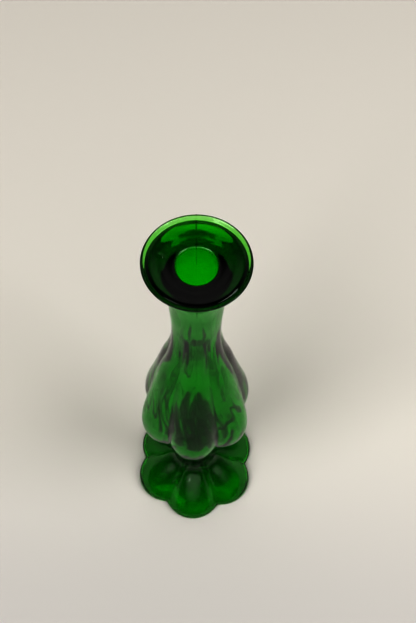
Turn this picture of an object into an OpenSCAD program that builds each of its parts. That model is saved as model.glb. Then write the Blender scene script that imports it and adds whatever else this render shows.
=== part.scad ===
// Bud vase: one thick piece of moulded green glass.
// A round flared mouth and neck stand on a body of lobes, which narrows to a short
// solid stem on a foot of petals. The lobes and the petals are in line.
// The glass is drawn as one solid for each region, stacked face to face.
// +Z is up, the origin is the centre of the resting face, and a petal points to -Y.

/* [Overall] */
// Height from the table to the top of the rim
height = 228; // [205:1:250]
// Number of lobes round the body, and of petals round the foot
lobes = 6; // [5:1:8]
// How softly the grooves between the lobes are rounded, in degrees
groove_softness = 2; // [1:0.5:5]

/* [Mouth] */
// Diameter across the rim
rim_d = 41.3; // [38:0.1:46]
// Radius of the rounded edge of the rim
edge_r = 0.4; // [0.3:0.05:0.5]
// Diameter of the opening in the middle of the mouth's shallow dish
throat_d = 14.8; // [13.6:0.1:15.6]

/* [Neck] */
// Outer diameter of the neck where it is narrowest
neck_d = 20.9; // [20:0.1:24]

/* [Body] */
// Diameter across two opposite lobes at the belly
body_d = 56.8; // [52:0.1:62]
// Radius of the grooves at the belly, as a share of the lobes' radius
groove_share = 0.796; // [0.76:0.005:0.9]

/* [Stem and foot] */
// Diameter of the solid stem, across two opposite ribs
stem_d = 22.8; // [20:0.1:26]
// Diameter across two opposite petals of the foot
foot_d = 69; // [62:0.1:76]
// Radius of the notches between the petals, as a share of the petals' radius
notch_share = 0.863; // [0.8:0.005:0.92]
// Width of the ring that the foot rests on
rest_width = 1.3; // [1:0.1:4]
// Depth of the hollow under the foot
hollow_depth = 12.5; // [2:0.5:16]

/* [Glass] */
// Thickness of the glass in the neck and at the grooves
wall = 4.3; // [3.8:0.1:4.8]
// How much thicker the glass is at the lobes
lobe_extra = 0.8; // [0:0.1:1.2]
// Height of the lowest point inside
cavity_floor = 48; // [46:1:54]

/* [Hidden] */

$fn = 96;
ring_points = lobes * 12;
eps = 0.01;

rim_r = rim_d / 2;
throat_r = throat_d / 2;
neck_r = neck_d / 2;
body_r = body_d / 2;
stem_r = stem_d / 2;
foot_r = foot_d / 2;
bore_min_r = neck_r - wall;
glass_green = [0.05, 0.30, 0.07];

// Heights of the flat planes where one region ends and the next begins.
foot_top = 26;
stem_top = 36;
lower_body_top = 62;
belly_top = height * 0.456;
shoulder_top = height * 0.789;
neck_top = height * 0.851;
flare_top = height - 4;

// Height at which the cavity's rounded bottom meets its upright wall.
bowl_top = lower_body_top;
// Height of the neck's narrowest place, which the grooves run up to.
neck_z = shoulder_top;
// How full the dome of the foot's hollow is: 1 is an ellipse, and more is more pointed.
dome_power = 1.3;
// Height from which the glass at the lobes grows thicker, and over how much height.
lobe_extra_top = height * 0.728;
lobe_extra_span = 40;

// Outline of the lobes and petals from the foot to the rim, as [height, radius].
crest = [
    [0, foot_r * 0.965],
    [1.2, foot_r * 0.993],
    [2.5, foot_r],
    [4.6, foot_r * 0.974],
    [11, foot_r * 0.812],
    [17.5, foot_r * 0.594],
    [22.5, foot_r * 0.400],
    [28.5, stem_r + 0.1],
    [35, stem_r],
    [height * 0.175, stem_r + 0.6],
    [height * 0.219, body_r * 0.542],
    [height * 0.263, body_r * 0.665],
    [height * 0.307, body_r * 0.785],
    [height * 0.346, body_r * 0.905],
    [height * 0.373, body_r * 0.975],
    [height * 0.397, body_r],
    [height * 0.421, body_r * 0.990],
    [height * 0.456, body_r * 0.940],
    [height * 0.500, body_r * 0.845],
    [height * 0.553, body_r * 0.735],
    [height * 0.614, body_r * 0.614],
    [height * 0.671, neck_r * 1.320],
    [height * 0.728, neck_r * 1.100],
    [neck_z, neck_r],
    [height - 42, neck_r * 1.015],
    [height - 36, neck_r * 1.050],
    [height - 26, neck_r * 1.110],
    [height - 18.5, neck_r * 1.200],
    [height - 13.9, rim_r - 7.1],
    [height - 10.9, rim_r - 5.8],
    [height - 9, rim_r - 4.8],
    [height - 7.2, rim_r - 3.8],
    [height - 5.2, rim_r - 2.7],
    [height - 3.3, rim_r - 1.6],
    [height - 1.65, rim_r - 0.55],
    [height - 0.8, rim_r - 0.05],
    [height - edge_r, rim_r],
];

// Outline of the grooves and notches over the same heights. Above the shoulder the
// glass is round, so the groove and the lobe have the same radius.
groove = [
    [0, foot_r * notch_share * 0.965],
    [1.2, foot_r * notch_share * 0.990],
    [2.5, foot_r * notch_share],
    [4.6, foot_r * notch_share * 0.960],
    [9, foot_r * notch_share * 0.800],
    [14.5, foot_r * notch_share * 0.600],
    [20.5, foot_r * notch_share * 0.395],
    [28.5, stem_r - 1.3],
    [35, stem_r - 1.2],
    [height * 0.175, stem_r - 0.9],
    [height * 0.219, body_r * groove_share * 0.625],
    [height * 0.263, body_r * groove_share * 0.755],
    [height * 0.307, body_r * groove_share * 0.875],
    [height * 0.346, body_r * groove_share * 0.970],
    [height * 0.373, body_r * groove_share * 1.015],
    [height * 0.397, body_r * groove_share * 1.035],
    [height * 0.421, body_r * groove_share * 1.035],
    [height * 0.456, body_r * groove_share * 0.995],
    [height * 0.500, body_r * groove_share * 0.940],
    [height * 0.553, body_r * groove_share * 0.835],
    [height * 0.614, body_r * groove_share * 0.708],
    [height * 0.671, neck_r * 1.190],
    [height * 0.728, neck_r * 1.010],
    [height * 0.765, neck_r * 0.985],
    [neck_z, neck_r],
];

// Inside of the neck, up to the edge of the dish, as [height, radius].
bore = [
    [neck_z, bore_min_r],
    [height - 42, bore_min_r],
    [height - 34, bore_min_r + 0.2],
    [height - 25, bore_min_r + 0.65],
    [height - 17, throat_r - 0.15],
    [height - 10.5, throat_r],
    [height - 6.5, throat_r],
    [height - 4.6, throat_r + 0.25],
    [flare_top, throat_r + 0.5],
];

// The mouth's dish from the throat to the edge of the rim, as [radius, depth]. It
// falls in two low steps, and a fine channel runs round it inside the rim.
dish = [
    [throat_r + 0.5, height - flare_top],
    [throat_r + 0.8, 3.6],
    [throat_r + 1.6, 3.15],
    [throat_r + 2.7, 3],
    [throat_r + 3.8, 2.75],
    [throat_r + 4.6, 2.5],
    [throat_r + 5.4, 2.2],
    [rim_r - 6.6, 2.02],
    [rim_r - 5.75, 1.79],
    [rim_r - 5, 1.54],
    [rim_r - 4.35, 1.29],
    [rim_r - 3.75, 1.08],
    [rim_r - 3.2, 0.97],
    [rim_r - 2.75, 1.03],
    [rim_r - 2.25, 1.28],
    [rim_r - 1.95, 1.42],
    [rim_r - 1.75, 1.32],
    [rim_r - 1.45, 1],
    [rim_r - 1, 0.5],
    [rim_r - edge_r * (1 + cos(45)), edge_r * (1 - sin(45))],
];

// Smooth curve through [place, value] points, with each point's slope taken from
// its neighbours.
function slope(p, i) =
    let (a = max(i - 1, 0), b = min(i + 1, len(p) - 1))
    (p[b][1] - p[a][1]) / (p[b][0] - p[a][0]);

function segment(p, z, i = 0) =
    i >= len(p) - 2 || z < p[i + 1][0] ? i : segment(p, z, i + 1);

function hermite(r0, r1, s0, s1, t) =
    (2 * t ^ 3 - 3 * t ^ 2 + 1) * r0 + (t ^ 3 - 2 * t ^ 2 + t) * s0
    + (3 * t ^ 2 - 2 * t ^ 3) * r1 + (t ^ 3 - t ^ 2) * s1;

function curve(p, z) =
    let (
        i = segment(p, z),
        h = p[i + 1][0] - p[i][0]
    )
    hermite(p[i][1], p[i + 1][1], slope(p, i) * h, slope(p, i + 1) * h, (z - p[i][0]) / h);

function crest_r(z) = curve(crest, z);
function groove_r(z) = z >= shoulder_top - eps ? crest_r(z) : min(crest_r(z), curve(groove, z));

// Share of its full width that the cavity has at a height, as its bottom is a bowl.
function bowl(z) =
    z >= bowl_top ? 1 : sqrt(max(0, 1 - ((bowl_top - z) / (bowl_top - cavity_floor)) ^ 2));
function inner_crest_r(z) =
    bowl(z) * (crest_r(z) - wall - lobe_extra * min(1, max(0, (lobe_extra_top - z) / lobe_extra_span)));
function inner_groove_r(z) = bowl(z) * (groove_r(z) - wall);
function bore_r(z) = curve(bore, z);

// Radius of a ring of equal arcs, at an angle from the middle of an arc. The arcs
// reach the crest radius in their middle and meet at the groove radius.
function lobed_r(rc, rg, angle) =
    let (
        half = 180 / lobes,
        off = abs(angle - 2 * half * round(angle / (2 * half))),
        u = half - off,
        soft = sqrt(u ^ 2 + groove_softness ^ 2) - groove_softness * (1 - u / half),
        a = half - soft,
        c = (rc ^ 2 - rg ^ 2) / (2 * (rc - rg * cos(half))),
        p = rc - c
    )
    c * cos(a) + sqrt(p ^ 2 - (c * sin(a)) ^ 2);

function lobed_ring(z, rc, rg) = [
    for (i = [0:ring_points - 1])
        let (a = i * 360 / ring_points, r = lobed_r(rc, rg, a))
        [r * sin(a), -r * cos(a), z]
];
function outer_ring(z) = lobed_ring(z, crest_r(z), groove_r(z));
function inner_ring(z) = lobed_ring(z, inner_crest_r(z), inner_groove_r(z));

// Equal steps from one height to another, both ends included.
function levels(a, b, steps) = [for (i = [0:steps]) a + (b - a) * i / steps];

// Solid through a list of rings. A closed one joins its last ring to its first, and
// an open one has flat ends.
module skin(rings, closed = false) {
    n = len(rings[0]);
    m = len(rings);
    last = closed ? m - 1 : m - 2;
    sides = [
        for (j = [0:last], i = [0:n - 1])
            let (
                k = (i + 1) % n,
                a = j * n + i,
                b = j * n + k,
                c = (j + 1) % m * n + k,
                d = (j + 1) % m * n + i
            )
            each [[a, c, b], [a, d, c]]
    ];
    ends = closed ? [] : [
        [for (i = [0:n - 1]) i],
        [for (i = [n - 1:-1:0]) (m - 1) * n + i]
    ];
    polyhedron(points = [for (r = rings) each r], faces = concat(sides, ends), convexity = 8);
}

// Wall between the outer and inner surfaces, from one height to another.
module lobed_wall(z0, z1, steps) {
    skin(concat(
        [for (z = levels(z0, z1, steps)) outer_ring(z)],
        [for (z = levels(z1, z0, steps)) inner_ring(z)]
    ), closed = true);
}

// Thin rounded rim with the shallow dish inside it.
module lip() {
    dish_start = dish[0][0];
    dish_end = dish[len(dish) - 1][0];
    color(glass_green)
    rotate_extrude()
    polygon(concat(
        [for (z = levels(flare_top, height - edge_r, 8)) [crest_r(z), z]],
        [for (a = levels(22.5, 112.5, 4))
            [rim_r - edge_r + edge_r * cos(a), height - edge_r + edge_r * sin(a)]],
        [for (r = levels(dish_end, dish_start, 44)) [r, height - curve(dish, r)]]
    ));
}

module mouth_flare() {
    color(glass_green)
    rotate_extrude()
    polygon(concat(
        [for (z = levels(neck_top, flare_top, 14)) [crest_r(z), z]],
        [for (z = levels(flare_top, neck_top, 14)) [bore_r(z), z]]
    ));
}

module neck() {
    color(glass_green)
    rotate_extrude()
    polygon(concat(
        [for (z = levels(shoulder_top, neck_top, 6)) [crest_r(z), z]],
        [for (z = levels(neck_top, shoulder_top, 6)) [bore_r(z), z]]
    ));
}

module shoulder() {
    color(glass_green) lobed_wall(belly_top, shoulder_top, 15);
}

module belly() {
    color(glass_green) lobed_wall(lower_body_top, belly_top, 12);
}

// Closed at the bottom by a bowl of thick glass.
module lower_body() {
    bowl_angles = levels(90, 6, 7);
    color(glass_green)
    skin(concat(
        [for (z = levels(stem_top, lower_body_top, 8)) outer_ring(z)],
        [for (a = bowl_angles) inner_ring(bowl_top - (bowl_top - cavity_floor) * cos(a))]
    ));
}

// Solid glass, with the lobes and the petals running into it as low ribs.
module stem() {
    color(glass_green)
    skin([for (z = levels(foot_top, stem_top, 5)) outer_ring(z)]);
}

// Petals that rest on a narrow ring, with a domed hollow under them.
module foot() {
    hollow_angles = levels(5, 90, 10);
    hollow_crest = crest_r(0) - rest_width;
    hollow_groove = groove_r(0) - rest_width;
    edge_levels = levels(0, 4, 5);
    top_levels = levels(5, foot_top, 13);
    color(glass_green)
    skin(concat(
        [for (a = hollow_angles)
            lobed_ring(hollow_depth * cos(a) ^ dome_power, hollow_crest * sin(a), hollow_groove * sin(a))],
        [for (z = concat(edge_levels, top_levels)) outer_ring(z)]
    ));
}

lip();
mouth_flare();
neck();
shoulder();
belly();
lower_body();
stem();
foot();
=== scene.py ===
import math

import bpy
import numpy as np
from mathutils import Matrix, Vector


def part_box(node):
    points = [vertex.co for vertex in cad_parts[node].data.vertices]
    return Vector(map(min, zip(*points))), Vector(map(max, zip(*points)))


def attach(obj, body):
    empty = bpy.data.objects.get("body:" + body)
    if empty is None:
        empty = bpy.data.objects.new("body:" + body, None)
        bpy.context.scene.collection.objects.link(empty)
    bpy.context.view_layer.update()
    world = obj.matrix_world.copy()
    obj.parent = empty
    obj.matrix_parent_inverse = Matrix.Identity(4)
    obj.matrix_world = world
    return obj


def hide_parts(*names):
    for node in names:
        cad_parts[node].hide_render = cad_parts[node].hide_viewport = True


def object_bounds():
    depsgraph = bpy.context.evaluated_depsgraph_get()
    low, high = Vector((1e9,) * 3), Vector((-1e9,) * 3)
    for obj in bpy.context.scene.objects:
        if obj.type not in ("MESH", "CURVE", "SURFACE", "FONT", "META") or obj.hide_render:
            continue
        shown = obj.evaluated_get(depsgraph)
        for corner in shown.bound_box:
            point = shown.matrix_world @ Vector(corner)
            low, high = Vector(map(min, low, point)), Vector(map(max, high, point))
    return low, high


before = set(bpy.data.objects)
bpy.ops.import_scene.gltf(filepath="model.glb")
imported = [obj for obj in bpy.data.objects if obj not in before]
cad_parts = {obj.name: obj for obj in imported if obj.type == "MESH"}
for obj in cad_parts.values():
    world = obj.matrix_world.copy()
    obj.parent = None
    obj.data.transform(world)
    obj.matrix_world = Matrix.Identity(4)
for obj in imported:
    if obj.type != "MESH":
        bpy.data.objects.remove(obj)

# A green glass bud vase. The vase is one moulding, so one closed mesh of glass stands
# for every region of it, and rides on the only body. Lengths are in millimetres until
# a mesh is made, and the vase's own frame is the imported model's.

CAD_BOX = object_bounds()
MM = 0.001
REGIONS = ["lip", "mouth_flare", "neck", "shoulder", "belly", "lower_body", "stem", "foot"]

# ---------------------------------------------------------------- sizes from the frame


def top_of(node):
    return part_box(node)[1].z / MM


def reach_of(node):
    """Half the width along Y, where a lobe and a petal point."""
    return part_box(node)[1].y / MM


HEIGHT = CAD_BOX[1].z / MM
RIM_R = reach_of("lip")
FOOT_R = reach_of("foot")
BOWL_TOP = top_of("lower_body")
NECK_Z = top_of("shoulder")

# ---------------------------------------------------------------- sizes of the glass

LOBES = 6
HALF_LOBE = 180 / LOBES
GROOVE_SOFTNESS = 2.0        # degrees of arc over which a groove is rounded
THROAT_R = 7.4
NECK_R = 10.45
BODY_R = 28.4
GROOVE_R = BODY_R * 0.796
STEM_R = 11.4
NOTCH_R = FOOT_R * 0.863
HOLLOW_TOP = 12.5            # top of the hollow under the foot
DOME_POWER = 1.3             # 1 is a round dome, more is a pointed one
REST_WIDTH = 1.3             # of the ring that the foot rests on
WALL = 4.3
LOBE_EXTRA = 0.8             # added to the wall inside a lobe
LOBE_EXTRA_TOP = HEIGHT * 0.728
LOBE_EXTRA_RUN = 40
BORE_R = NECK_R - WALL
CAVITY_FLOOR = 48.0          # height of the bottom of the cavity
SEAM_ANGLES = [4.5, 184.5]
SEAM_HALF_ANGLE = 0.5
SEAM_RISE = 0.05
MOUTH_SEAM_EXTRA = 0.17
MOUTH_SEAM_START = HEIGHT - 22
MOUTH_SEAM_RUN = 8
BLISTER_X = -13.4
BLISTER_Y = 2.6
BLISTER_R = 0.7
BLISTER_RISE = 0.8
RINGS = 450
COLUMNS_PER_LOBE = 34

# Outline of the lobes and petals, and of the grooves between them, as (height, radius).
CREST = [
    (0, FOOT_R * 0.965), (1.2, FOOT_R * 0.993), (2.5, FOOT_R), (4.6, FOOT_R * 0.974),
    (11, FOOT_R * 0.812), (17.5, FOOT_R * 0.594), (22.5, FOOT_R * 0.400),
    (28.5, STEM_R + 0.1), (35, STEM_R), (HEIGHT * 0.175, STEM_R + 0.6),
    (HEIGHT * 0.219, BODY_R * 0.542), (HEIGHT * 0.263, BODY_R * 0.665),
    (HEIGHT * 0.307, BODY_R * 0.785), (HEIGHT * 0.346, BODY_R * 0.905),
    (HEIGHT * 0.373, BODY_R * 0.975), (HEIGHT * 0.397, BODY_R),
    (HEIGHT * 0.421, BODY_R * 0.990), (HEIGHT * 0.456, BODY_R * 0.940),
    (HEIGHT * 0.500, BODY_R * 0.845), (HEIGHT * 0.553, BODY_R * 0.735),
    (HEIGHT * 0.614, BODY_R * 0.614), (HEIGHT * 0.671, NECK_R * 1.320),
    (HEIGHT * 0.728, NECK_R * 1.100), (NECK_Z, NECK_R),
    (HEIGHT * 0.843, NECK_R * 1.050),
]
GROOVE = [
    (0, NOTCH_R * 0.965), (1.2, NOTCH_R * 0.990), (2.5, NOTCH_R), (4.6, NOTCH_R * 0.960),
    (9, NOTCH_R * 0.800), (14.5, NOTCH_R * 0.600), (20.5, NOTCH_R * 0.395),
    (28.5, STEM_R - 1.3), (35, STEM_R - 1.2), (HEIGHT * 0.175, STEM_R - 0.9),
    (HEIGHT * 0.219, GROOVE_R * 0.625), (HEIGHT * 0.263, GROOVE_R * 0.755),
    (HEIGHT * 0.307, GROOVE_R * 0.875), (HEIGHT * 0.346, GROOVE_R * 0.970),
    (HEIGHT * 0.373, GROOVE_R * 1.015), (HEIGHT * 0.397, GROOVE_R * 1.035),
    (HEIGHT * 0.421, GROOVE_R * 1.035), (HEIGHT * 0.456, GROOVE_R * 0.995),
    (HEIGHT * 0.500, GROOVE_R * 0.940), (HEIGHT * 0.553, GROOVE_R * 0.835),
    (HEIGHT * 0.614, GROOVE_R * 0.708), (HEIGHT * 0.671, NECK_R * 1.190),
    (HEIGHT * 0.728, NECK_R * 1.010), (HEIGHT * 0.765, NECK_R * 0.985), (NECK_Z, NECK_R),
]
# Outline of the mouth as (radius, height below the rim): up the outside from the neck,
# round the thin lip, over the shallow dish and down the throat.
MOUTH = [
    (NECK_R, HEIGHT - NECK_Z), (NECK_R * 1.015, 42), (NECK_R * 1.05, 36), (NECK_R * 1.11, 26),
    (NECK_R * 1.20, 18.5), (RIM_R - 7.1, 13.9), (RIM_R - 5.8, 10.9), (RIM_R - 4.8, 9.0),
    (RIM_R - 3.8, 7.2), (RIM_R - 2.7, 5.2), (RIM_R - 1.6, 3.3), (RIM_R - 0.55, 1.65),
    (RIM_R - 0.05, 0.8), (RIM_R, 0.45), (RIM_R - 0.12, 0.12), (RIM_R - 0.35, 0),
    (RIM_R - 0.6, 0.12), (RIM_R - 1.0, 0.5), (RIM_R - 1.45, 1.0), (RIM_R - 1.75, 1.32),
    (RIM_R - 1.95, 1.42), (RIM_R - 2.25, 1.28), (RIM_R - 2.75, 1.03), (RIM_R - 3.2, 0.97),
    (RIM_R - 3.75, 1.08), (RIM_R - 4.35, 1.29), (RIM_R - 5.0, 1.54), (RIM_R - 5.75, 1.79),
    (RIM_R - 6.6, 2.02), (THROAT_R + 5.4, 2.2), (THROAT_R + 4.6, 2.5), (THROAT_R + 3.8, 2.75),
    (THROAT_R + 2.7, 3.0), (THROAT_R + 1.6, 3.15), (THROAT_R + 0.8, 3.6), (THROAT_R + 0.25, 4.6),
    (THROAT_R, 6.5), (THROAT_R, 10.5), (THROAT_R - 0.15, 17), (BORE_R + 0.65, 25),
    (BORE_R + 0.2, 34), (BORE_R, 42), (BORE_R, HEIGHT - NECK_Z),
]


def curve(points, z):
    """Radius at each height, on a smooth curve through (height, radius) points."""
    pz, pr = np.array(points, float).T
    n = len(pz)
    before, after = np.maximum(np.arange(n) - 1, 0), np.minimum(np.arange(n) + 1, n - 1)
    slope = (pr[after] - pr[before]) / (pz[after] - pz[before])
    i = np.clip(np.searchsorted(pz, z, side="right") - 1, 0, n - 2)
    h = pz[i + 1] - pz[i]
    t = (z - pz[i]) / h
    return (
        (2 * t**3 - 3 * t**2 + 1) * pr[i] + (t**3 - 2 * t**2 + t) * slope[i] * h
        + (3 * t**2 - 2 * t**3) * pr[i + 1] + (t**3 - t**2) * slope[i + 1] * h
    )


def smooth_path(points, steps):
    """A smooth curve through points in a plane, with a number of steps between two."""
    p = np.array(points, float)
    n = len(p)
    gap = np.hypot(*np.diff(p, axis=0).T) ** 0.5
    at = np.concatenate([[0], np.cumsum(gap)])
    before, after = np.maximum(np.arange(n) - 1, 0), np.minimum(np.arange(n) + 1, n - 1)
    slope = (p[after] - p[before]) / (at[after] - at[before])[:, None]
    out = []
    for i in range(n - 1):
        t = np.linspace(0, 1, steps, endpoint=False)[:, None]
        h = at[i + 1] - at[i]
        out.append((2 * t**3 - 3 * t**2 + 1) * p[i] + (t**3 - 2 * t**2 + t) * slope[i] * h
                   + (3 * t**2 - 2 * t**3) * p[i + 1] + (t**3 - t**2) * slope[i + 1] * h)
    return np.concatenate(out + [p[-1:]])


def crest_r(z):
    return curve(CREST, z)


def groove_r(z):
    return np.where(z >= NECK_Z, crest_r(z), np.minimum(crest_r(z), curve(GROOVE, z)))


def inner_crest_r(z):
    """The glass grows a little thicker at the lobes, below the neck."""
    share = np.clip((LOBE_EXTRA_TOP - z) / LOBE_EXTRA_RUN, 0, 1)
    return crest_r(z) - WALL - LOBE_EXTRA * share


def lobed_r(rc, rg, angle):
    """Radius of a ring of equal arcs, at angles in degrees from the middle of an arc."""
    off = np.abs(angle - 2 * HALF_LOBE * np.round(angle / (2 * HALF_LOBE)))
    u = HALF_LOBE - off
    soft = np.sqrt(u**2 + GROOVE_SOFTNESS**2) - GROOVE_SOFTNESS * (1 - u / HALF_LOBE)
    a = np.radians(HALF_LOBE - soft)
    c = (rc**2 - rg**2) / (2 * (rc - rg * math.cos(math.radians(HALF_LOBE))))
    return c * np.cos(a) + np.sqrt((rc - c) ** 2 - (c * np.sin(a)) ** 2)


# ---------------------------------------------------------------- the glass mesh


def glass_path():
    """Rings from the middle of the underside, over the rim, to the bottom of the
    cavity, as rows of height, lobe radius, groove radius and share of inside."""
    rows = []

    def add(z, rc, rg, inside):
        z, rc, rg, inside = np.broadcast_arrays(*[np.asarray(v, float) for v in (z, rc, rg, inside)])
        rows.append(np.stack([z, rc, rg, inside], axis=1))

    low = np.array(0.0)
    hollow_c, hollow_g = crest_r(low) - REST_WIDTH, groove_r(low) - REST_WIDTH
    a = np.radians(np.linspace(0.5, 90, 160))
    add(HOLLOW_TOP * np.cos(a) ** DOME_POWER, hollow_c * np.sin(a), hollow_g * np.sin(a), 0)
    t = np.linspace(0, 1, 12)[1:-1]
    add(0 * t, hollow_c + REST_WIDTH * t, hollow_g + REST_WIDTH * t, 0)
    z = np.linspace(0, NECK_Z, 2600)[:-1]
    add(z, crest_r(z), groove_r(z), 0)
    r, down = smooth_path(MOUTH, 40).T
    add(HEIGHT - down, r, r, np.arange(len(r)) > np.argmin(down))
    z = np.linspace(NECK_Z, BOWL_TOP, 1500)[1:]
    add(z, inner_crest_r(z), groove_r(z) - WALL, 1)
    a = np.radians(np.linspace(90, 1, 150))[1:]
    z = BOWL_TOP - (BOWL_TOP - CAVITY_FLOOR) * np.cos(a)
    add(z, np.sin(a) * inner_crest_r(z), np.sin(a) * (groove_r(z) - WALL), 1)
    return np.concatenate(rows)


def spaced(path, count, curl=2.5):
    """The path at count places, closer together where it bends."""
    step = np.hypot(*np.diff(path[:, :2], axis=0).T)
    along = np.concatenate([[0], np.cumsum(step)])
    even = np.linspace(0, along[-1], 6000)
    p = np.stack([np.interp(even, along, path[:, k]) for k in range(path.shape[1])], axis=1)
    heading = np.unwrap(np.arctan2(np.gradient(p[:, 0]), np.gradient(p[:, 1])))
    bend = np.abs(np.gradient(heading, even))
    width = 15
    bend = np.convolve(bend, np.ones(width) / width, mode="same")
    weight = 1 + curl * np.minimum(bend, 2.0)
    share = np.concatenate([[0], np.cumsum((weight[1:] + weight[:-1]) / 2)])
    at = np.interp(np.linspace(0, share[-1], count), share, np.arange(len(even)))
    return np.stack([np.interp(at, np.arange(len(even)), p[:, k]) for k in range(p.shape[1])], axis=1)


def columns(per_lobe):
    """Angles round the vase in degrees from the far petal, closer near the grooves,
    with a few more along each mould seam."""
    t = np.arange(per_lobe) / per_lobe * 2 - 1
    one = HALF_LOBE * (t + 0.12 * np.sin(math.pi * t))
    out = np.concatenate([one + 2 * HALF_LOBE * k for k in range(LOBES)]) % 360
    for seam in SEAM_ANGLES:
        near = np.abs((out - seam + 180) % 360 - 180)
        out = np.concatenate([out[near > 1.4], seam + np.array([-1.2, -0.7, -0.3, 0, 0.3, 0.7, 1.2])])
    return np.sort(out % 360)


def closed_mesh(name, rings):
    """A closed mesh through rings of points, given as an array (ring, column, xyz)."""
    m, n = rings.shape[:2]
    first, last = rings[0].mean(axis=0), rings[-1].mean(axis=0)
    points = np.concatenate([rings.reshape(-1, 3), [first, last]]) * MM
    j, i = np.meshgrid(np.arange(m - 1), np.arange(n), indexing="ij")
    k = (i + 1) % n
    quads = np.stack([j * n + i, j * n + k, (j + 1) * n + k, (j + 1) * n + i], axis=-1).reshape(-1, 4)
    i = np.arange(n)
    k = (i + 1) % n
    low = np.stack([np.full(n, m * n), k, i], axis=1)
    high = np.stack([np.full(n, m * n + 1), (m - 1) * n + i, (m - 1) * n + k], axis=1)
    mesh = bpy.data.meshes.new(name)
    mesh.from_pydata(points.tolist(), [], quads.tolist() + low.tolist() + high.tolist())
    mesh.validate()
    for p in mesh.polygons:
        p.use_smooth = True
    return mesh


def ripple(z, angle):
    """Unevenness of the cavity in millimetres, where the hot glass moved in the mould:
    slow waves below the neck, and fine upright streaks at the shoulder and the lobes."""
    a = np.radians(angle)
    slow = 0.22 * np.sin(2 * a + z / 31 + 2.1) + 0.14 * np.sin(3 * a - z / 19 + 0.6)
    quick = 0.07 * np.sin(11 * a + z / 9) + 0.05 * np.sin(17 * a - z / 6 + 1.0)
    streak = 0.05 * np.sin(29 * a + 2 * np.sin(z / 7)) * np.exp(-(((z - 164) / 11) ** 2))
    low_streak = 0.14 * np.sin(28 * a + 3 * np.sin(z / 9)) * np.exp(-(((z - 100) / 28) ** 2))
    body = np.clip((NECK_Z + 8 - z) / 25, 0, 1)
    return body * (slow + quick) + streak + low_streak


def seam_height(z, angle):
    """The mould's two parting lines stand up from the outside as fine ridges, a little
    higher at the mouth."""
    off = [np.abs((angle - seam + 180) % 360 - 180) for seam in SEAM_ANGLES]
    ridge = sum(np.exp(-((d / SEAM_HALF_ANGLE) ** 2)) for d in off)
    at_mouth = np.clip((z - MOUTH_SEAM_START) / MOUTH_SEAM_RUN, 0, 1)
    return ridge * (SEAM_RISE + MOUTH_SEAM_EXTRA * at_mouth)


def blister(x, y):
    """One small raised blister in the dish, left by a bubble in the hot glass."""
    away = (x - BLISTER_X) ** 2 + (y - BLISTER_Y) ** 2
    return BLISTER_RISE * np.exp(-away / BLISTER_R**2)


def vase_rings():
    """Every point of the glass, ring by ring, from the underside to the cavity."""
    path = spaced(glass_path(), RINGS)
    angle = columns(COLUMNS_PER_LOBE)[None, :]
    z, rc, rg, inside = [path[:, k][:, None] for k in range(4)]
    r = lobed_r(rc, rg, angle)
    full = np.clip(r / 3, 0, 1)  # fades the detail out towards the axis
    detail = inside * ripple(z, angle) + (1 - inside) * (z > 0) * seam_height(z, angle)
    r = r + full * detail
    turn = np.radians(angle)
    x, y = -r * np.sin(turn), r * np.cos(turn)
    in_dish = inside * z > HEIGHT - 4
    return np.stack([x, y, z + in_dish * blister(x, y)], axis=-1)


def make_vase(material):
    piece = bpy.data.objects.new("vase_glass", closed_mesh("vase_glass", vase_rings()))
    bpy.context.scene.collection.objects.link(piece)
    piece.data.materials.append(material)
    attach(piece, "root")
    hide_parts(*REGIONS)


# ---------------------------------------------------------------- materials


def new_material(name):
    m = bpy.data.materials.new(name)
    m.use_nodes = True
    return m, m.node_tree.nodes, m.node_tree.links


def ramp(nodes, links, source, start, end, low=0.0, high=1.0):
    """A node that runs from low to high as the source runs from start to end."""
    node = nodes.new("ShaderNodeMapRange")
    node.inputs["From Min"].default_value = start
    node.inputs["From Max"].default_value = end
    node.inputs["To Min"].default_value = low
    node.inputs["To Max"].default_value = high
    links.new(source, node.inputs["Value"])
    return node


def green_glass():
    m, nodes, links = new_material("green_glass")
    shader = nodes["Principled BSDF"]
    shader.inputs["Base Color"].default_value = (1, 1, 1, 1)
    shader.inputs["Transmission Weight"].default_value = 1.0
    shader.inputs["Roughness"].default_value = 0.05
    shader.inputs["IOR"].default_value = 1.52
    depth = nodes.new("ShaderNodeVolumeAbsorption")
    depth.inputs["Color"].default_value = (0.335, 0.94, 0.06, 1)
    depth.inputs["Density"].default_value = 1360.0
    links.new(depth.outputs["Volume"], nodes["Material Output"].inputs["Volume"])
    return m


def pale_floor():
    """Pale matt paper, with painted shade: a little darker towards the front, where it stands in for
    the light falling off.
    """
    m, nodes, links = new_material("pale_floor")
    shader = nodes["Principled BSDF"]
    where = nodes.new("ShaderNodeTexCoord")
    parts = nodes.new("ShaderNodeSeparateXYZ")
    links.new(where.outputs["Object"], parts.inputs["Vector"])
    # Painted shade: the paper's colour runs from darker in front to paler behind, in place of the
    # fall of the light.
    share = ramp(nodes, links, parts.outputs["Y"], -0.11, 0.06)
    share.interpolation_type = "SMOOTHSTEP"
    painted_shade = nodes.new("ShaderNodeMix")
    painted_shade.data_type = "RGBA"
    painted_shade.inputs["A"].default_value = (0.652, 0.632, 0.615, 1)
    painted_shade.inputs["B"].default_value = (0.778, 0.75, 0.71, 1)
    links.new(share.outputs["Result"], painted_shade.inputs["Factor"])
    links.new(painted_shade.outputs["Result"], shader.inputs["Base Color"])
    shader.inputs["Roughness"].default_value = 0.75
    return m


# ---------------------------------------------------------------- floor, light, camera

FLOOR_HALF = 6.0
SOFTBOX_ELEVATION = 48
SOFTBOX_DISTANCE = 1.6
SOFTBOX_SIZE = 0.9
SOFTBOX_POWER = 12.5


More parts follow.
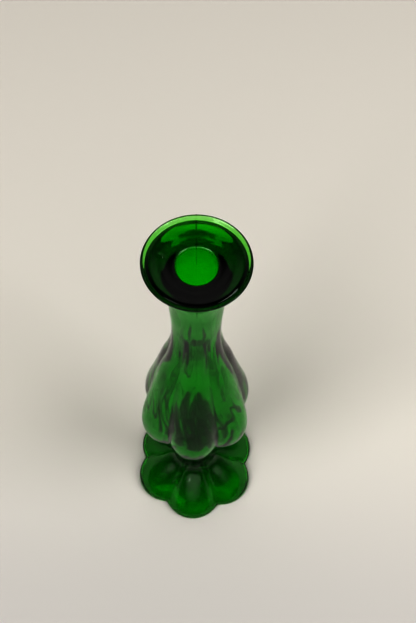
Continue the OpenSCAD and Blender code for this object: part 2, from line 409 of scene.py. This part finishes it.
def make_floor(material):
    mesh = bpy.data.meshes.new("floor")
    s = FLOOR_HALF
    mesh.from_pydata([(-s, -s, 0), (s, -s, 0), (s, s, 0), (-s, s, 0)], [], [(0, 1, 2, 3)])
    floor = bpy.data.objects.new("floor", mesh)
    bpy.context.scene.collection.objects.link(floor)
    mesh.materials.append(material)


def softbox(name, azimuth):
    """A square area light that faces the vase. Azimuth is from +X towards +Y."""
    a, e = math.radians(azimuth), math.radians(SOFTBOX_ELEVATION)
    out = Vector((math.cos(a) * math.cos(e), math.sin(a) * math.cos(e), math.sin(e)))
    target = Vector((0, 0, 0.08))
    light = bpy.data.lights.new(name, "AREA")
    light.shape = "SQUARE"
    light.size = SOFTBOX_SIZE
    light.energy = SOFTBOX_POWER
    lamp = bpy.data.objects.new(name, light)
    lamp.location = target + out * SOFTBOX_DISTANCE
    lamp.rotation_mode = "QUATERNION"
    lamp.rotation_quaternion = (-out).to_track_quat("-Z", "Y")
    bpy.context.scene.collection.objects.link(lamp)


def studio_world():
    """Soft light from all round, which the glass reflects."""
    world = bpy.data.worlds.new("studio")
    bpy.context.scene.world = world
    world.use_nodes = True
    nodes, links = world.node_tree.nodes, world.node_tree.links
    back = nodes["Background"]
    where = nodes.new("ShaderNodeTexCoord")
    parts = nodes.new("ShaderNodeSeparateXYZ")
    links.new(where.outputs["Generated"], parts.inputs["Vector"])
    # Brighter behind the vase, darker overhead, and a soft glow half way up in front of it.
    facing = ramp(nodes, links, parts.outputs["Y"], 0.1, 0.7, 0.12, 0.75)
    high = ramp(nodes, links, parts.outputs["Z"], 0.70, 0.84, 1.0, 0.27)
    front = ramp(nodes, links, parts.outputs["Y"], -0.1, -0.6)
    middle = ramp(nodes, links, parts.outputs["Z"], 0.28, 0.5, 0.0, 2.0)
    glow = nodes.new("ShaderNodeMath")
    glow.operation = "MULTIPLY_ADD"
    links.new(front.outputs["Result"], glow.inputs[0])
    links.new(middle.outputs["Result"], glow.inputs[1])
    links.new(facing.outputs["Result"], glow.inputs[2])
    light = nodes.new("ShaderNodeMath")
    light.operation = "MULTIPLY"
    links.new(glow.outputs["Value"], light.inputs[0])
    links.new(high.outputs["Result"], light.inputs[1])
    back.inputs["Color"].default_value = (1.0, 0.985, 0.94, 1)
    links.new(light.outputs["Value"], back.inputs["Strength"])


def make_camera():
    """The camera looks down at the vase, turned and tilted by a little."""
    pitch, yaw, roll = math.radians(61.816), math.radians(-2.006), math.radians(1.854)
    level = math.cos(pitch)
    ahead = Vector((math.sin(yaw) * level, math.cos(yaw) * level, -math.sin(pitch)))
    side = ahead.cross(Vector((0, 0, 1))).normalized()
    up = side.cross(ahead)
    right = side * math.cos(roll) + up * math.sin(roll)
    top = up * math.cos(roll) - side * math.sin(roll)
    data = bpy.data.cameras.new("camera")
    data.lens = 50.0
    data.sensor_width = 36.0
    data.sensor_fit = "AUTO"
    data.clip_start = 0.02
    data.clip_end = 30.0
    camera = bpy.data.objects.new("camera", data)
    turn = Matrix((right, top, -ahead)).transposed()
    camera.matrix_world = Matrix.Translation((0.01041, -0.16406, 0.49631)) @ turn.to_4x4()
    bpy.context.scene.collection.objects.link(camera)
    bpy.context.scene.camera = camera


make_camera()
make_vase(green_glass())
make_floor(pale_floor())
softbox("soft_right", -16.8)
softbox("soft_left", -134.1)
studio_world()

scene = bpy.context.scene
scene.view_settings.view_transform = "Standard"
scene.view_settings.gamma = 0.54
scene.view_settings.exposure = -0.06
scene.cycles.max_bounces = 24
scene.cycles.transmission_bounces = 24
scene.cycles.transparent_max_bounces = 24
